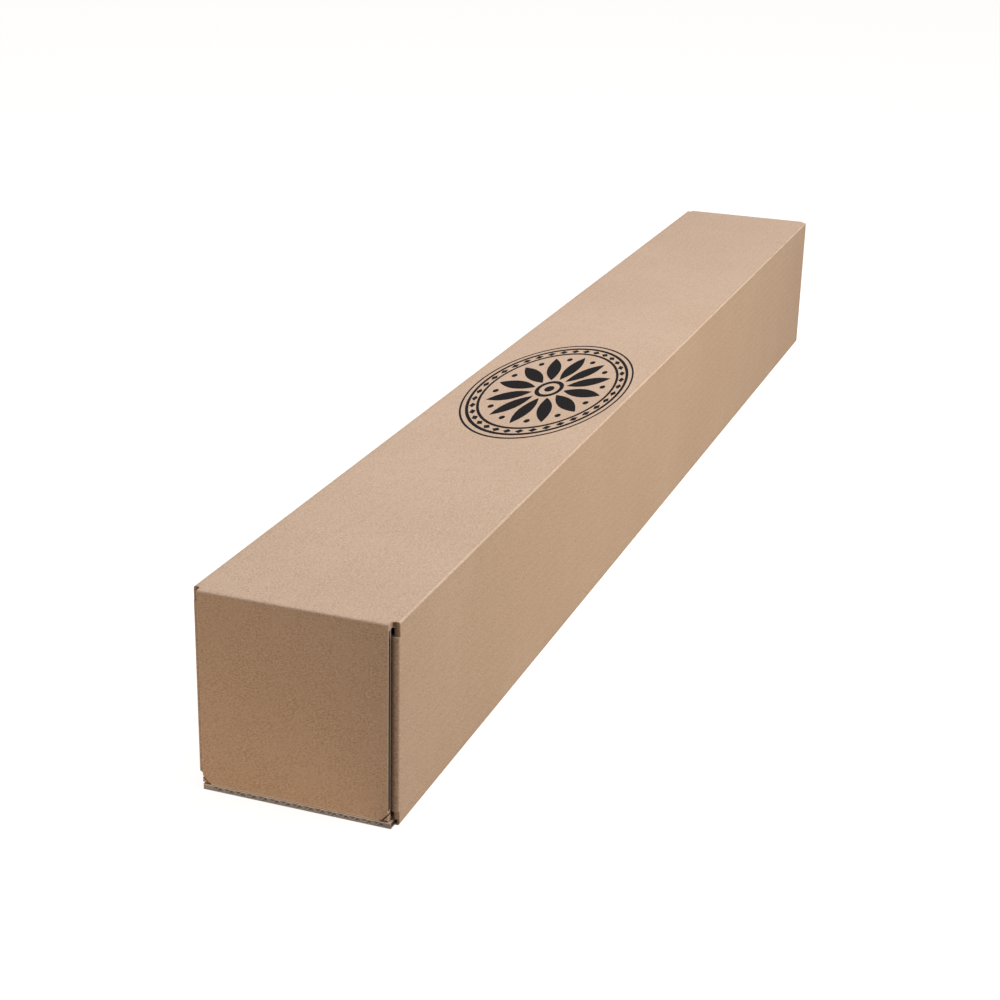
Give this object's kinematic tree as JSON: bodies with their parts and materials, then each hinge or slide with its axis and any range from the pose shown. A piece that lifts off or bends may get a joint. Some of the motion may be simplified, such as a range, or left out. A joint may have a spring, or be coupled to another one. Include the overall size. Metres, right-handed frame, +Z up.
{
  "type": "square cardboard mailing tube",
  "caption": "Long square mailing tube folded from corrugated kraft board, closed at each end by a hinged lid with a tuck-in tongue over dust flaps.",
  "frame": {"origin": "centre of the base, on the surface that the tube lies on", "axes": "+Y along the tube towards its back end, +Z up, +X to the right seen from the front end"},
  "size_m": [0.108, 0.92, 0.108],
  "materials": {
    "kraft_board": "matt, unbleached kraft liner",
    "fluting": "matt, rough cut edge of the fluting",
    "stamp_ink": "matt black flexographic ink"
  },
  "bodies": {
    "tube": {"tube": "kraft_board"},
    "front_lid": {"front_lid": "kraft_board"},
    "back_lid": {"back_lid": "kraft_board"}
  },
  "joints": [
    {"name": "front_lid_hinge", "type": "hinge", "parent": "tube", "child": "front_lid", "pos_m": [0, -0.46, 0.108], "axis": [-1, 0, 0], "range_deg": [0, 175]},
    {"name": "back_lid_hinge", "type": "hinge", "parent": "tube", "child": "back_lid", "pos_m": [0, 0.46, 0.108], "axis": [1, 0, 0], "range_deg": [0, 175]}
  ]
}
